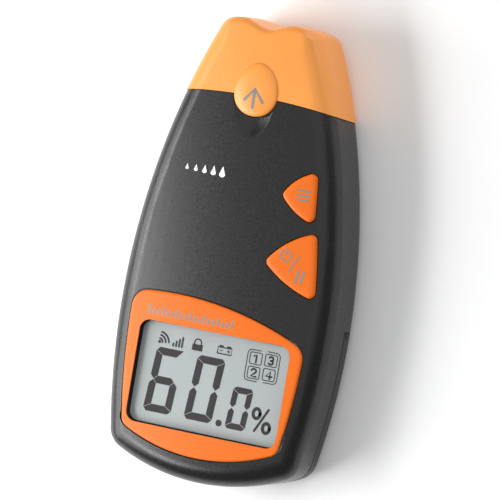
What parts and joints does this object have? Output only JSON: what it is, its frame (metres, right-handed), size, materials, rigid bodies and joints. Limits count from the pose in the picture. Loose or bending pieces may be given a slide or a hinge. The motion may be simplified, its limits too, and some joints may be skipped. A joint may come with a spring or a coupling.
{
  "type": "moisture meter",
  "caption": "Hand-held four-pin moisture meter with a bowed black case, a framed digital display, two rounded triangular buttons, a pull-off pin cap and a sliding battery door.",
  "frame": {"origin": "middle of the flat back face's footprint: centre of the overall box in X and Y, on the surface the meter lies on", "axes": "+X to the right of the display, +Y along the meter towards the pins and the cap, +Z out of the display"},
  "size_m": [0.0686, 0.14, 0.0272],
  "materials": {
    "case_black": "fine satin grain",
    "cap_orange": "fine satin",
    "trim_orange": "smooth",
    "window_clear": "clear, polished",
    "lcd_glass": "grey-green display glass",
    "reflector_white": "matt",
    "frame_grey": "matt",
    "zebra_pink": "soft",
    "switch_black": "matt",
    "plunger_ivory": "matt",
    "board_green": "solder resist",
    "chip_black": "matt",
    "chip_tan": "ceramic",
    "steel": "plated",
    "capacitor_can": "printed sleeve",
    "brass": "turned",
    "cell_can": "plated can",
    "lead_red": "insulation",
    "lead_black": "insulation",
    "block_grey": "glass filled"
  },
  "bodies": {
    "case": {"front_shell": "case_black", "rear_shell": "case_black", "case_screws": "steel", "electrode_block": "block_grey", "block_screws": "steel", "contact_pin_1": "steel", "contact_pin_2": "steel", "contact_pin_3": "steel", "contact_pin_4": "steel", "pin_socket_1": "brass", "pin_socket_2": "brass", "pin_socket_3": "brass", "pin_socket_4": "brass", "electrode_lead_1": "lead_red", "electrode_lead_2": "lead_black", "electrode_lead_3": "lead_red", "electrode_lead_4": "lead_black", "display_bezel": "trim_orange", "display_window": "window_clear", "lcd_panel": "lcd_glass", "lcd_reflector": "reflector_white", "lcd_frame": "frame_grey", "zebra_strip_1": "zebra_pink", "zebra_strip_2": "zebra_pink", "mode_switch": "switch_black", "power_switch": "switch_black", "main_board": "board_green", "board_screws": "steel", "microcontroller": "chip_black", "amplifier_chip": "chip_black", "crystal": "steel", "capacitors": "capacitor_can", "chip_parts": "chip_tan", "battery_cell_1": "cell_can", "battery_cell_2": "cell_can", "battery_cell_3": "cell_can", "battery_spring_1": "steel", "battery_spring_2": "steel", "battery_spring_3": "steel", "contact_negative": "steel", "contact_positive": "steel", "contact_link_upper": "steel", "contact_link_lower": "steel"},
    "cap": {"pin_cap": "cap_orange"},
    "door": {"battery_door": "case_black"},
    "mode_key": {"mode_button": "trim_orange", "mode_plunger": "plunger_ivory"},
    "power_key": {"power_button": "trim_orange", "power_plunger": "plunger_ivory"}
  },
  "joints": [
    {"name": "cap_slide", "type": "slide", "parent": "case", "child": "cap", "axis": [0, 1, 0], "range_m": [0, 0.035]},
    {"name": "battery_door_slide", "type": "slide", "parent": "case", "child": "door", "axis": [0, -1, 0], "range_m": [0, 0.055]},
    {"name": "mode_button_press", "type": "slide", "parent": "case", "child": "mode_key", "axis": [0, 0, -1], "range_m": [0, 0.0005], "stiffness_N_per_m": 1500},
    {"name": "power_button_press", "type": "slide", "parent": "case", "child": "power_key", "axis": [0, 0, -1], "range_m": [0, 0.0005], "stiffness_N_per_m": 1500}
  ]
}
